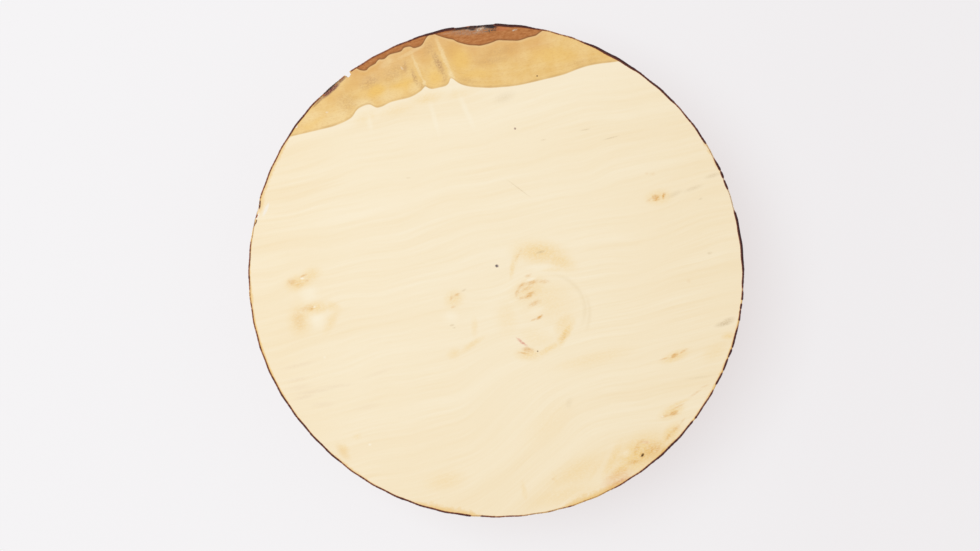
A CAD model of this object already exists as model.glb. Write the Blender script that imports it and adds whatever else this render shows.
# %% [markdown]
# A lime wood bowl blank, finished in cells.
# The real thing is one disc of lime, band-sawn from the bark side of a log. Its face is planed, and
# its sawn wall is sealed with dark wax so that the wood dries slowly and doesn't crack.
# The measured solid comes first. Everything below is fitted to it and never the other way round.

# %% The measured solid
import math
from functools import cache, partial

import bmesh
import bpy
from mathutils import Matrix, Vector, noise
from mathutils.bvhtree import BVHTree


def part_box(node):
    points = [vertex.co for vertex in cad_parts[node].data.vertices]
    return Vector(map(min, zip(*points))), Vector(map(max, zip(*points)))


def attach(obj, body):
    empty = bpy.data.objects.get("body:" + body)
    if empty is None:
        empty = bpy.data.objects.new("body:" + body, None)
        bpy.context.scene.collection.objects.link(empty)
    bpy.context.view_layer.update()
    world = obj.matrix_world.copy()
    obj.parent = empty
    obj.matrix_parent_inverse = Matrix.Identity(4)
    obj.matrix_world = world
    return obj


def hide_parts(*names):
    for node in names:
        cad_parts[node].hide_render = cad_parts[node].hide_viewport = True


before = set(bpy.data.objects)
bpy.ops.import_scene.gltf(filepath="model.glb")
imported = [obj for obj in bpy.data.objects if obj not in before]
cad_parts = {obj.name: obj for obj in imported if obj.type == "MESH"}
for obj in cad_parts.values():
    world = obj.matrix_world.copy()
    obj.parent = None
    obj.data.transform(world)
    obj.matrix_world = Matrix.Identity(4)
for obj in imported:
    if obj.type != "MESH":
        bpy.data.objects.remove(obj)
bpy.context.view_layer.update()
low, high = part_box("bowl_blank")
THICKNESS = high.z
RADIUS = (high.x - low.x + high.y - low.y) / 4
MM = 0.001
print("the disc is", round(2 * RADIUS / MM, 1), "mm across and", round(THICKNESS / MM, 1), "mm thick")

# %% [markdown]
# The camera and the light.
# The photograph looks straight down on the disc from 1 m above the table, so the far wall hides
# below the near rim and only the face shows. A 60 mm lens on a 36 mm sensor gives that framing.
# The light is one large soft lamp up to the left and a pale sky all round. The table is a white sheet
# lit from below, as photographers use for small goods: that is why the shadows are so faint.

# %% The camera
CAMERA_AT = (-0.0037, -0.0028, 1.0)
LENS = 60
SENSOR = 36

lens = bpy.data.cameras.new("copy_stand")
lens.lens = LENS
lens.sensor_width = SENSOR
camera = bpy.data.objects.new("copy_stand", lens)
camera.location = CAMERA_AT
bpy.context.scene.collection.objects.link(camera)
bpy.context.scene.camera = camera
bpy.context.scene.view_settings.view_transform = "Standard"
print("the camera stands", CAMERA_AT[2], "m above the table")


# %% Colours
def linear(hex_colour):
    """The linear colour, with alpha, of an sRGB hex value. The numbers are the sRGB standard's."""
    parts = [int(hex_colour[i : i + 2], 16) / 255 for i in (0, 2, 4)]
    steps = [c / 12.92 if c <= 0.04045 else ((c + 0.055) / 1.055) ** 2.4 for c in parts]
    return (*steps, 1.0)


print("middle grey in linear light:", round(linear("808080")[0], 3))


# %% Adding a node
def feed(tree, node, sockets):
    """Gives each socket a value, or links it to the node or output that feeds it."""
    for socket, value in sockets.items():
        if isinstance(value, bpy.types.Node):
            value = next(output for output in value.outputs if output.enabled)
        if isinstance(value, bpy.types.NodeSocket):
            tree.links.new(value, node.inputs[socket])
        else:
            node.inputs[socket].default_value = value


def add_node(tree, kind, sockets=None, **settings):
    """Adds one node with its settings and its links. The kind Math stands for ShaderNodeMath."""
    made = tree.nodes.new("ShaderNode" + kind)
    for name, value in settings.items():
        setattr(made, name, value)
    feed(tree, made, sockets or {})
    return made


def new_material(name):
    """Starts a material, and hands over its node tree and its shader too."""
    material = bpy.data.materials.new(name)
    material.use_nodes = True
    return material, material.node_tree, material.node_tree.nodes["Principled BSDF"]


# %% The white sheet
# Lit paper is matt and has no gloss. Most of what the eye sees of it is its own even glow.
FLOOR_SIZE = 12
SHEET_TOP = "6f7b80"
SHEET_GLOW, SHEET_GLOW_RIGHT = "e1dad9", "ddd5d4"
GLOW_CHANGES_FROM, GLOW_CHANGES_TO = -0.05, 0.22


def new_object(name, shape):
    """Turns a bmesh into a mesh object in the scene."""
    mesh = bpy.data.meshes.new(name)
    shape.to_mesh(mesh)
    shape.free()
    thing = bpy.data.objects.new(name, mesh)
    bpy.context.scene.collection.objects.link(thing)
    return thing


sheet_shape = bmesh.new()
bmesh.ops.create_grid(sheet_shape, x_segments=1, y_segments=1, size=FLOOR_SIZE / 2)
sheet = new_object("white_sheet", sheet_shape)

paper, paper_tree, paper_shader = new_material("lit_white_sheet")
glow = partial(add_node, paper_tree)
sheet_axes = glow("SeparateXYZ", {0: glow("TexCoord").outputs["Object"]})
to_the_right = glow("MapRange", {0: sheet_axes.outputs["X"], 1: GLOW_CHANGES_FROM, 2: GLOW_CHANGES_TO})
glow_colour = glow(
    "Mix",
    {0: to_the_right, 6: linear(SHEET_GLOW), 7: linear(SHEET_GLOW_RIGHT)},
    data_type="RGBA",
)
feed(paper_tree, paper_shader, {"Base Color": linear(SHEET_TOP), "Roughness": 1.0})
feed(paper_tree, paper_shader, {"Specular IOR Level": 0.0})
feed(paper_tree, paper_shader, {"Emission Color": glow_colour, "Emission Strength": 1.0})
sheet.data.materials.append(paper)
print("the sheet is", FLOOR_SIZE, "m wide")

# %% The sky and the lamp
SKY = "f2f2f4"
SKY_STRENGTH = 0.42
LAMP_AT = (-1.5, 0.5, 3.9)
LAMP_SIZE = 2.4
LAMP_POWER = 127

sky = bpy.data.worlds.new("pale_room")
sky.use_nodes = True
background = sky.node_tree.nodes["Background"]
feed(sky.node_tree, background, {"Color": linear(SKY), "Strength": SKY_STRENGTH})
bpy.context.scene.world = sky

lamp_data = bpy.data.lights.new("soft_lamp", "AREA")
lamp_data.shape = "SQUARE"
lamp_data.size = LAMP_SIZE
lamp_data.energy = LAMP_POWER
lamp = bpy.data.objects.new("soft_lamp", lamp_data)
lamp.location = LAMP_AT
lamp.rotation_euler = (-lamp.location).to_track_quat("-Z", "Y").to_euler()
bpy.context.scene.collection.objects.link(lamp)
print("lamp", round(lamp.location.length, 2), "m from the disc")

# %% [markdown]
# The shape of the wall.
# A band saw leaves the wall a little out of round and rippled, with a slot where the blade came in
# and a few chips at the rim. The measured solid has all of that, but with coarse faces. The finished
# disc asks that solid how far its wall is from the axis, by casting a ray at it from outside at each
# angle and height, and then adds the fine ribs that the saw teeth leave. That way the fine mesh can't
# drift away from the measured one.

# %% Asking the solid where its wall is
MERGE = 1e-6
EDGE_CLEARANCE = 0.00005

solid_shape = bmesh.new()
solid_shape.from_mesh(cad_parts["bowl_blank"].data)
bmesh.ops.remove_doubles(solid_shape, verts=solid_shape.verts, dist=MERGE)
solid = BVHTree.FromBMesh(solid_shape)
solid_shape.free()


@cache
def wall_radius(angle, height):
    """How far the measured wall is from the axis, at an angle and a height. It keeps its answers."""
    level = min(max(height, EDGE_CLEARANCE), THICKNESS - EDGE_CLEARANCE)
    outwards = Vector((math.cos(angle), math.sin(angle), 0))
    start = 2 * RADIUS
    distance = solid.ray_cast(start * outwards + Vector((0, 0, level)), -outwards)[3]
    return RADIUS if distance is None else start - distance


print("wall at the front", round(wall_radius(math.radians(-90), THICKNESS / 2) / MM, 2), "mm from the axis")

# %% The ribs that the saw teeth leave
RIB_WIDTH = 0.0016
RIB_LENGTH = 0.040
RIB_DEPTH = 0.00007
TEAR_SIZE = 0.0009
TEAR_DEPTH = 0.00012
# How far the wall has to be set back before it counts as torn.
TORN_BEYOND = 0.001


def saw_marks(angle, height, radius):
    """Upright ribs on the sawn wall, and torn fibres where wood has broken out of it."""
    x, y = RADIUS * math.cos(angle), RADIUS * math.sin(angle)
    ribs = noise.noise(Vector((x / RIB_WIDTH, y / RIB_WIDTH, height / RIB_LENGTH)))
    tears = noise.noise(Vector((x / TEAR_SIZE, y / TEAR_SIZE, height / TEAR_SIZE)))
    broken = min(max((RADIUS - radius - TORN_BEYOND) / MM, 0), 1)
    return RIB_DEPTH * ribs + TEAR_DEPTH * broken * tears


print("ribs up to", RIB_DEPTH / MM, "mm deep and", RIB_WIDTH / MM, "mm wide")

# %% Crowding the mesh where the wall has its detail
SIDES = 1440
ROWS = 46
ROW_CROWDING = 0.78
KERF_ANGLE = math.radians(127.2)
KERF_REACH = math.radians(12)
KERF_CROWDING = 0.4
ANGLE_DIGITS = 5


def from_kerf(angle):
    """The turn from the slot to an angle, to the left or to the right."""
    return (angle - KERF_ANGLE + math.pi) % (2 * math.pi) - math.pi


def crowded_angle(angle):
    """Draws the sides together towards the slot that the saw blade left."""
    away = from_kerf(angle)
    if abs(away) > KERF_REACH:
        return round(angle, ANGLE_DIGITS)
    share = away / KERF_REACH
    return round(KERF_ANGLE + away * (KERF_CROWDING + (1 - KERF_CROWDING) * share**2), ANGLE_DIGITS)


def crowded_height(height):
    """Draws the rows together towards the two rims."""
    share = height / THICKNESS
    return THICKNESS * (share - ROW_CROWDING * math.sin(2 * math.pi * share) / (2 * math.pi))


print("the first row is", round((THICKNESS - crowded_height(THICKNESS * (1 - 1 / ROWS))) / MM, 2), "mm high")

# %% [markdown]
# The disc.
# A cylinder primitive gives the two faces and the wall. Each face is inset a few times, which leaves
# narrow rings of faces along the rim where the shape changes fast, and one large flat face inside.
# The pricked middle and the open pit in the front knot are real hollows, so they are cut with two
# small solids before the wall gets its rows, while the mesh is still light.

# %% A plain disc with rings along its rims
RINGS = (0, 0.0003, 0.0006, 0.0010, 0.0015, 0.0022, 0.0032, 0.0050, 0.0080, 0.0140, 0.0220)


def plain_disc():
    """A cylinder whose two faces have narrow rings of faces along their rims."""
    shape = bmesh.new()
    bmesh.ops.create_cone(
        shape,
        cap_ends=True,
        segments=SIDES,
        radius1=RADIUS,
        radius2=RADIUS,
        depth=THICKNESS,
        matrix=Matrix.Translation((0, 0, THICKNESS / 2)),
    )
    for cap in [face for face in shape.faces if len(face.verts) == SIDES]:
        for ring, wider in zip(RINGS, RINGS[1:]):
            bmesh.ops.inset_region(shape, faces=[cap], thickness=wider - ring)
    return new_object("dressed_disc", shape)


disc = plain_disc()
print("plain disc:", len(disc.data.polygons), "faces")

# %% The two hollows in the planed face
CENTRE_MARK = (0.0003, 0.0026)
CENTRE_MARK_DEPTH = 0.0012
# The awl's cone is as high above the face as it goes below it.
AWL_TIP_RADIUS, AWL_TOP_RADIUS = 0.00018, 0.0018
KNOT_PIT = (0.0829, -0.1047)
KNOT_PIT_TURN = 50
KNOT_PIT_SIZE = (0.00135, 0.00055, 0.0012)
KNOT_PIT_RISE = 0.00021
PIT_ROUGHNESS = 0.25
PIT_WAVES = 1.7


def awl_tip():
    """The cone that an awl presses into the middle of the face."""
    shape = bmesh.new()
    bmesh.ops.create_cone(
        shape,
        cap_ends=True,
        segments=32,
        radius1=AWL_TIP_RADIUS,
        radius2=AWL_TOP_RADIUS,
        depth=CENTRE_MARK_DEPTH * 2,
        matrix=Matrix.Translation((*CENTRE_MARK, THICKNESS)),
    )
    return new_object("awl_tip", shape)


def pit_filling():
    """The shape of the narrow hollow in the front knot."""
    shape = bmesh.new()
    bmesh.ops.create_icosphere(shape, subdivisions=4, radius=1)
    for vert in shape.verts:
        vert.co *= 1 + PIT_ROUGHNESS * noise.noise(vert.co * PIT_WAVES)
    size = Matrix.Diagonal((*KNOT_PIT_SIZE, 1))
    turn = Matrix.Rotation(math.radians(KNOT_PIT_TURN), 4, "Z")
    place = Matrix.Translation((*KNOT_PIT, THICKNESS + KNOT_PIT_RISE))
    bmesh.ops.transform(shape, matrix=place @ turn @ size, verts=shape.verts)
    return new_object("pit_filling", shape)


def cut_out(thing, cutter):
    """Cuts one shape out of another for good, and takes the cutter away."""
    step = thing.modifiers.new(cutter.name, "BOOLEAN")
    step.operation = "DIFFERENCE"
    step.solver = "EXACT"
    step.object = cutter
    evaluated = thing.evaluated_get(bpy.context.evaluated_depsgraph_get())
    cut_mesh = bpy.data.meshes.new_from_object(evaluated)
    thing.modifiers.clear()
    thing.data = cut_mesh
    bpy.data.objects.remove(cutter)


cut_out(disc, awl_tip())
cut_out(disc, pit_filling())
print("disc with its hollows:", len(disc.data.polygons), "faces")

# %% Fitting the disc to the measured wall
ON_THE_WALL = 1e-5
SHARP = math.radians(30)


def fit_to_wall(thing):
    """Gives the wall its rows, then moves wall and rims to where the measured solid has them."""
    shape = bmesh.new()
    shape.from_mesh(thing.data)
    upright = [
        edge for edge in shape.edges
        if abs(edge.verts[0].co.z - edge.verts[1].co.z) > THICKNESS - ON_THE_WALL
    ]
    bmesh.ops.subdivide_edges(shape, edges=upright, cuts=ROWS - 1)
    turn = shape.verts.layers.float.new("turn")
    for vert in shape.verts:
        vert[turn] = math.atan2(vert.co.y, vert.co.x) / (2 * math.pi) % 1
        from_axis = math.hypot(vert.co.x, vert.co.y)
        inset = RADIUS - from_axis
        if inset > RINGS[-1] + ON_THE_WALL:
            continue
        angle = crowded_angle(math.atan2(vert.co.y, vert.co.x))
        height = vert.co.z
        if inset < ON_THE_WALL:
            height = crowded_height(height)
            inset = 0
        rim = wall_radius(angle, height)
        hold = 1 - (inset / RINGS[-1]) ** 2
        from_axis = RADIUS - inset + hold * (rim - RADIUS)
        if inset == 0:
            from_axis += saw_marks(angle, height, rim)
        vert.co = Vector((from_axis * math.cos(angle), from_axis * math.sin(angle), height))
    bmesh.ops.recalc_face_normals(shape, faces=shape.faces)
    shape.to_mesh(thing.data)
    shape.free()
    thing.data.shade_smooth()
    thing.data.set_sharp_from_angle(angle=SHARP)


fit_to_wall(disc)
print("fitted disc:", len(disc.data.vertices), "points")

# %% [markdown]
# The sealing wax.
# The wall was rolled in melted dark wax. It is a film a few tenths of a millimetre thick, with
# runs, and it laps over the rim in an uneven bead. That bead is the thin dark line round the face.
# It breaks off where the rim was knocked. A film like that could be painted on as a colour, but real
# wax has an edge and a thickness that catch the light. So it is a closed ring of its own: a profile
# spun round the disc, whose outer side stands a little proud of the wood where there is wax and dips
# under the wood where there is none.

# %% How much wax the rim holds, by direction
# Pairs of a direction in degrees, anticlockwise from the right, and the share of a full bead there.
RIM_WAX = (
    (0, 0.55), (3, 0.75), (9, 0.72), (13.6, 0.6), (14.4, 0.12), (19.2, 0.15), (19.8, 0.5), (21.4, 0.5),
    (21.9, 0.05), (22.5, 0.6), (23.6, 0.6), (24.0, 0.2), (24.4, 0.65), (26.3, 0.5), (27.4, 0.2),
    (31.0, 0.15), (31.6, 0.5), (35.5, 0.45), (38.9, 0.4), (40.0, 0.3), (43.0, 0.32), (43.8, 0.55),
    (48.5, 0.55), (52.2, 0.45), (54.5, 0.5), (56.5, 0.75), (60.5, 1.0), (64.0, 0.95), (67.0, 0.6),
    (69.3, 0.4), (70.0, 0.24), (78.0, 0.26), (80.0, 0.35), (83.0, 0.6), (86.0, 0.85), (90.2, 0.95),
    (90.8, 0.0), (99.6, 0.0), (100.2, 0.9), (101.5, 1.0), (104.5, 0.75), (108.0, 0.45), (112.0, 0.32),
    (126.2, 0.3), (126.5, 0.0), (127.9, 0.0), (128.1, 0.28), (129.5, 0.25), (129.9, 0.0),
    (135.3, 0.0), (135.8, 0.35), (142.0, 0.42), (146.5, 0.4),
    (149.0, 0.3), (156.0, 0.3), (162.8, 0.3), (163.2, 0.1), (163.8, 0.45), (165.2, 0.45),
    (165.8, 0.0), (167.8, 0.0), (168.3, 0.4), (168.9, 0.4), (169.4, 0.15), (172.5, 0.2),
    (174.0, 0.28), (180.0, 0.32), (183.5, 0.3), (184.2, 0.22), (187.5, 0.24), (189.0, 0.28),
    (197.0, 0.3), (206.0, 0.4), (222.0, 0.44), (230.3, 0.42), (231.5, 0.3), (245.5, 0.38),
    (247.0, 0.48), (248.3, 0.44), (250.0, 0.38), (263.8, 0.46), (264.3, 0.1), (265.8, 0.15),
    (266.5, 0.34), (274.0, 0.3), (277.5, 0.2), (285.0, 0.2), (287.5, 0.28), (289.0, 0.18),
    (297.5, 0.2), (298.5, 0.24), (303.3, 0.38), (304.0, 0.34), (310.0, 0.42), (311.5, 0.52),
    (315.5, 0.54), (319.0, 0.45), (322.3, 0.45), (322.9, 0.0), (323.6, 0.4), (331.0, 0.38),
    (331.5, 0.0), (332.3, 0.05), (332.9, 0.5), (335.4, 0.45), (335.9, 0.0), (336.5, 0.48),
    (338.9, 0.48), (339.3, 0.0), (339.8, 0.5), (341.4, 0.5), (341.7, 0.0), (342.1, 0.52),
    (346.0, 0.48), (346.6, 0.3), (347.8, 0.2), (348.1, 0.0), (348.5, 0.45), (350.6, 0.45),
    (350.9, 0.1), (351.2, 0.48), (352.3, 0.45), (352.5, 0.0), (353.0, 0.0), (353.3, 0.5),
    (355.0, 0.45), (355.3, 0.2), (355.8, 0.25), (356.3, 0.45), (360, 0.55),
)
LAP_RAGGEDNESS, LAP_RAG_SIZE = 0.14, 0.0011
# With less wax than this share of a bead, the edge is less ragged.
RAG_FADES_BELOW = 1 / 3


def rim_wax(angle):
    """The share of a full bead of wax on the top rim, a little ragged."""
    degrees = math.degrees(angle) % 360
    for (start, wax), (end, next_wax) in zip(RIM_WAX, RIM_WAX[1:]):
        if start <= degrees <= end:
            share = wax + (next_wax - wax) * (degrees - start) / (end - start)
            break
    place = Vector((math.cos(angle), math.sin(angle), 0)) * RADIUS
    raggedness = LAP_RAGGEDNESS * min(1, share / RAG_FADES_BELOW)
    return share + raggedness * noise.noise(place / LAP_RAG_SIZE)


print("full beads of wax:", sum(1 for _, wax in RIM_WAX if wax > 0.9))

# %% How thick the wax is on the wall
WALL_WAX = 0.00024
# Width of the clouds, width and length of the streaks and of the grain, and how much wax each adds.
WAX_CLOUDS = (0.045, 0.00016)
WAX_STREAKS = (0.0065, 0.030, 0.00012)
WAX_GRAIN = (0.0014, 0.004, 0.00004)
RUNS = 46
RUN_WIDTH, RUN_THICKNESS, RUN_STRENGTH = math.radians(0.9), 0.00030, 0.5
# Runs stray from their even steps, waver on their way down and get thinner towards the top.
RUN_SPREAD, RUN_WANDER, RUN_WANDER_LENGTH, RUN_THINS = 0.8, 0.006, 0.018, 0.7
# Where in the noise the place and the strength of the runs are looked up: step and row.
PLACE_LOOKUP, STRENGTH_LOOKUP = (1.37, 4.2), (2.11, 9.7)
# Where there is no wax, the ring dips this far under the wood.
NO_WAX = -0.00022


def run_of_wax(angle, height):
    """Runs that dripped down the wall before the wax set, at uneven steps round the disc."""
    step = 2 * math.pi / RUNS
    number = math.floor(angle / step)
    total = 0.0
    for near in (number - 1, number, number + 1):
        shift, extra = (
            noise.noise(Vector((near * lookup_step, row, 0)))
            for lookup_step, row in (PLACE_LOOKUP, STRENGTH_LOOKUP)
        )
        middle = (near + 0.5 + RUN_SPREAD * shift) * step
        middle += RUN_WANDER * noise.noise(Vector((near, height / RUN_WANDER_LENGTH, 0)))
        total += max(RUN_STRENGTH + extra, 0) * math.exp(-(((angle - middle) / RUN_WIDTH) ** 2))
    return total * RUN_THICKNESS * (1 - RUN_THINS * height / THICKNESS)


def wall_wax(angle, height):
    """The thickness of the wax on the wall, below zero where it is bare."""
    x, y = RADIUS * math.cos(angle), RADIUS * math.sin(angle)
    clouds, cloud_depth = WAX_CLOUDS
    width, length, streak_depth = WAX_STREAKS
    fine_width, fine_length, fine_depth = WAX_GRAIN
    wax = WALL_WAX + cloud_depth * noise.noise(Vector((x, y, height)) / clouds)
    wax += streak_depth * noise.noise(Vector((x / width, y / width, height / length)))
    wax += fine_depth * noise.noise(Vector((x / fine_width, y / fine_width, height / fine_length)))
    return wax + run_of_wax(angle % (2 * math.pi), height)


print("wax at the front:", round(wall_wax(math.radians(-90), THICKNESS / 2) / MM, 2), "mm")

# %% The wax ring
LAP_STEPS, WALL_STEPS = 8, 46
# The wax laps over the face, further where there is more of it. Past its edge it dips into the wood.
LAP, LAP_START, LAP_INNER = 0.00085, 0.00006, 1.15
# The bead and the film below it are full from a certain share of wax on.
BEAD, BEAD_FILLS, LEAST_BEAD = 0.00034, 1.6, 0.06
RIM_FILM, RIM_FILM_FILLS = 0.00048, 1.5
# Below the rim, the film changes from what the rim holds to what the wall holds.
RIM_ZONE = 0.0030
WALL_END = 0.0001
# The ring closes inside the wood, where nobody sees it.
SUNK, CLOSING_HEIGHT = 0.0021, 0.002
CHIP_DEPTH = 0.0007
CHIP_LIP = 0.0008
KERF_HALF_WIDTH = 0.0020


def is_chipped(angle, height):
    """Whether wood broke out of the wall here, or the slot runs here, so that there is no wax."""
    if abs(from_kerf(angle)) * RADIUS < KERF_HALF_WIDTH:
        return True
    sound = wall_radius(angle, THICKNESS / 2)
    return sound - wall_radius(angle, height) > CHIP_DEPTH and height < THICKNESS - CHIP_LIP


def wax_place(angle, row):
    """Where one point of the wax goes, and how thick the wax is there. Rows run from the top."""
    share = max(rim_wax(angle), 0)
    if row < LAP_STEPS:
        across = LAP_INNER * (1 - row / LAP_STEPS)
        lap = LAP_START + LAP * share
        rim = wall_radius(angle, THICKNESS)
        bead = BEAD * min(1, BEAD_FILLS * share) * (1 - across**2)
        wax = bead if share > LEAST_BEAD else NO_WAX
        return rim - across * lap + min(wax, 0), THICKNESS + wax, wax
    if row < LAP_STEPS + WALL_STEPS:
        height = crowded_height(THICKNESS * (1 - (row - LAP_STEPS) / (WALL_STEPS - 1)))
        rim = wall_radius(angle, height)
        wax = wall_wax(angle, height)
        near_rim = math.exp(-(((THICKNESS - height) / RIM_ZONE) ** 2))
        rim_film = NO_WAX + (RIM_FILM - NO_WAX) * min(1, RIM_FILM_FILLS * share)
        wax += (rim_film - wax) * near_rim
        if is_chipped(angle, height):
            wax = NO_WAX
        radius = rim + saw_marks(angle, height, rim) + wax
        return radius, min(max(height, WALL_END), THICKNESS - WALL_END + max(wax, 0) / 2), wax
    low_inside = row == LAP_STEPS + WALL_STEPS
    height = CLOSING_HEIGHT if low_inside else THICKNESS - CLOSING_HEIGHT
    return wall_radius(angle, height) - SUNK, height, 0.0


def wax_ring():
    """Spins a closed profile round the disc, then sends each point to its place."""
    rows = LAP_STEPS + WALL_STEPS + 2
    shape = bmesh.new()
    row_of = shape.verts.layers.int.new("row")
    ring = bmesh.ops.create_circle(shape, segments=rows, radius=THICKNESS / 2)["verts"]
    upright = Matrix.Translation((RADIUS, 0, THICKNESS / 2)) @ Matrix.Rotation(math.pi / 2, 4, "X")
    bmesh.ops.transform(shape, matrix=upright, verts=ring)
    for row, vert in enumerate(ring):
        vert[row_of] = row
    bmesh.ops.spin(
        shape,
        geom=shape.verts[:] + shape.edges[:],
        cent=(0, 0, 0),
        axis=(0, 0, 1),
        angle=2 * math.pi,
        steps=SIDES,
        use_merge=True,
    )
    thickness = shape.verts.layers.float.new("wax_thickness")
    turn = shape.verts.layers.float.new("turn")
    for vert in shape.verts:
        angle = math.atan2(vert.co.y, vert.co.x)
        vert[turn] = angle / (2 * math.pi) % 1
        angle = crowded_angle(angle)
        radius, height, wax = wax_place(angle, vert[row_of])
        vert.co = Vector((radius * math.cos(angle), radius * math.sin(angle), height))
        vert[thickness] = wax / MM
    bmesh.ops.recalc_face_normals(shape, faces=shape.faces)
    print("wax ring:", len(shape.verts), "points,", len(shape.faces), "faces")
    return new_object("edge_wax", shape)


wax_piece = wax_ring()
wax_piece.data.shade_smooth()

# %% [markdown]
# A map for the export.
# No pattern here needs a map, because the wood fills space and the wax carries its thickness. But a
# game engine wants pictures, and the export bakes them through a map. A disc and its wall unroll
# neatly by hand: the planed face gets most of the picture, the wall two strips, the underside a
# corner, and the wax gets four strips of its own. An automatic map would cut the wall into scraps.

# %% Laying a wall out in strips
STRIP_MARGIN = 0.004
FACE_UP, FACE_DOWN = 0.25, -0.5
WALL_BELONGS_BEYOND = 0.93
TOP_MAP = (0.342, 0.660, 0.336)
UNDERSIDE_MAP = (0.842, 0.480, 0.152)
WALL_STRIPS, WALL_STRIP_HEIGHT = 2, 0.152
WAX_STRIPS, WAX_STRIP_HEIGHT = 4, 0.242
WIDEST = 1.012


def in_strips(turns, shares, strips, strip_height):
    """Where the corners of one face go, from how far round and how far up they are, from 0 to 1."""
    # A face on the seam has corners just after 0 and just before 1.
    if max(turns) - min(turns) > 0.5:
        turns = [turn + 1 if turn < 0.5 else turn for turn in turns]
    strip = math.floor(strips * sum(turns) / len(turns))
    foot = STRIP_MARGIN + (strip % strips) * (strip_height + STRIP_MARGIN)
    length = 1 - 2 * STRIP_MARGIN
    return [
        (STRIP_MARGIN + length * (strips * turn - strip), foot + strip_height * share)
        for turn, share in zip(turns, shares)
    ]


def disc_map(face, shape):
    """The planed face and the underside are seen straight on. The wall goes into two strips."""
    middle = face.calc_center_median()
    inside = middle.xy.length < WALL_BELONGS_BEYOND * RADIUS
    if inside or face.normal.z > FACE_UP or face.normal.z < FACE_DOWN:
        middle_x, middle_y, size = TOP_MAP if middle.z > THICKNESS / 2 else UNDERSIDE_MAP
        scale = size / (WIDEST * RADIUS)
        return [(middle_x + scale * vert.co.x, middle_y + scale * vert.co.y) for vert in face.verts]
    turn = shape.verts.layers.float["turn"]
    heights = [vert.co.z / THICKNESS for vert in face.verts]
    return in_strips([vert[turn] for vert in face.verts], heights, WALL_STRIPS, WALL_STRIP_HEIGHT)


def wax_map(face, shape):
    """Every row of the wax gets the same height, and the closing row goes past the last one."""
    turn, row_of = shape.verts.layers.float["turn"], shape.verts.layers.int["row"]
    rows = [vert[row_of] for vert in face.verts]
    every_row = LAP_STEPS + WALL_STEPS + 2
    if max(rows) - min(rows) > 1:
        rows = [row or every_row for row in rows]
    shares = [row / every_row for row in rows]
    return in_strips([vert[turn] for vert in face.verts], shares, WAX_STRIPS, WAX_STRIP_HEIGHT)


def lay_out(thing, place_corners):
    """Gives a piece the map that the export bakes through."""
    shape = bmesh.new()
    shape.from_mesh(thing.data)
    shape.normal_update()
    bake_map = shape.loops.layers.uv.new("OFBake")
    for face in shape.faces:
        for corner, place in zip(face.loops, place_corners(face, shape)):
            corner[bake_map].uv = place
    everywhere = [corner[bake_map].uv for face in shape.faces for corner in face.loops]
    lowest = min(min(place) for place in everywhere)
    highest = max(max(place) for place in everywhere)
    shape.to_mesh(thing.data)
    shape.free()
    print(thing.name, "is laid out from", round(lowest, 4), "to", round(highest, 4))


lay_out(disc, disc_map)
lay_out(wax_piece, wax_map)

# %% [markdown]
# The wood, as a block of wood.
# A face, a wall and an underside that were cut from one log share one figure, so the pattern isn't
# laid on the surface: it fills space, and the disc cuts through it. The shader first finds where
# each point was in the log: how far along it, how far towards the bark, and how deep. Growth rings,
# the border of the inner bark and the branch traces all follow from those three numbers.
# Lime is pale and even. Planed, it is matt with a faint silk, so it starts from a roughness of 0.6.

# %% Where each point was in the log
GRAIN_TURN = math.radians(13)
PITH_DEPTH = 240
TOP = THICKNESS / MM

lime, lime_tree, lime_shader = new_material("planed_lime_with_bast_and_bark")
grow = partial(add_node, lime_tree)

objects_place = grow("TexCoord").outputs["Object"]
place = grow("VectorMath", {0: objects_place, 3: 1 / MM}, operation="SCALE")
flat_place = grow("VectorMath", {0: place, 1: (1, 1, 0)}, operation="MULTIPLY")
in_log = grow("Mapping", {"Vector": place, "Rotation": (0, 0, -GRAIN_TURN)})
log_axes = grow("SeparateXYZ", {0: in_log})
along, across, height = log_axes.outputs
above_pith = grow("Math", {0: height, 1: PITH_DEPTH - TOP}, operation="ADD")
print("the pith lies", PITH_DEPTH, "mm below the planed face")

# %% Carrying each point along its branch to the face
# Branches grow outwards from the pith, so a knot on the face has its root on the same ray.
spread = grow("Math", {0: PITH_DEPTH, 1: above_pith}, operation="DIVIDE")
across_on_face = grow("Math", {0: across, 1: spread}, operation="MULTIPLY")
log_on_face = grow("CombineXYZ", {0: along, 1: across_on_face})
FRAY_SIZE = 2.2
FRAY = 0.9
fray = grow("TexNoise", {"Vector": in_log, "Scale": 1 / FRAY_SIZE, "Detail": 2})
fray_off_centre = grow("VectorMath", {0: fray.outputs["Color"], 1: (0.5, 0.5, 0.5)}, operation="SUBTRACT")
fray_step = grow("VectorMath", {0: fray_off_centre, 1: (2 * FRAY, FRAY, 0)}, operation="MULTIPLY")
frayed = grow("VectorMath", {0: log_on_face, 1: fray_step}, operation="ADD")
on_face = grow("Mapping", {"Vector": frayed, "Rotation": (0, 0, GRAIN_TURN)})
print("edges of stains fray by up to", FRAY, "mm")

# %% The distance towards the bark, measured on the planed face
pith_vector = grow("CombineXYZ", {0: across, 1: above_pith})
from_pith = grow("VectorMath", {0: pith_vector}, operation="LENGTH")
beyond_face = from_pith.outputs["Value"]
for step, number in (("POWER", 2.0), ("SUBTRACT", PITH_DEPTH**2), ("MAXIMUM", 0.0)):
    beyond_face = grow("Math", {0: beyond_face, 1: number}, operation=step)
towards_bark = grow("Math", {0: beyond_face}, operation="SQRT")
bark_side = grow("Math", {0: across}, operation="SIGN")
towards_bark = grow("Math", {0: towards_bark, 1: bark_side}, operation="MULTIPLY")
print("the log's frame takes", len(lime_tree.nodes), "nodes")

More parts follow.
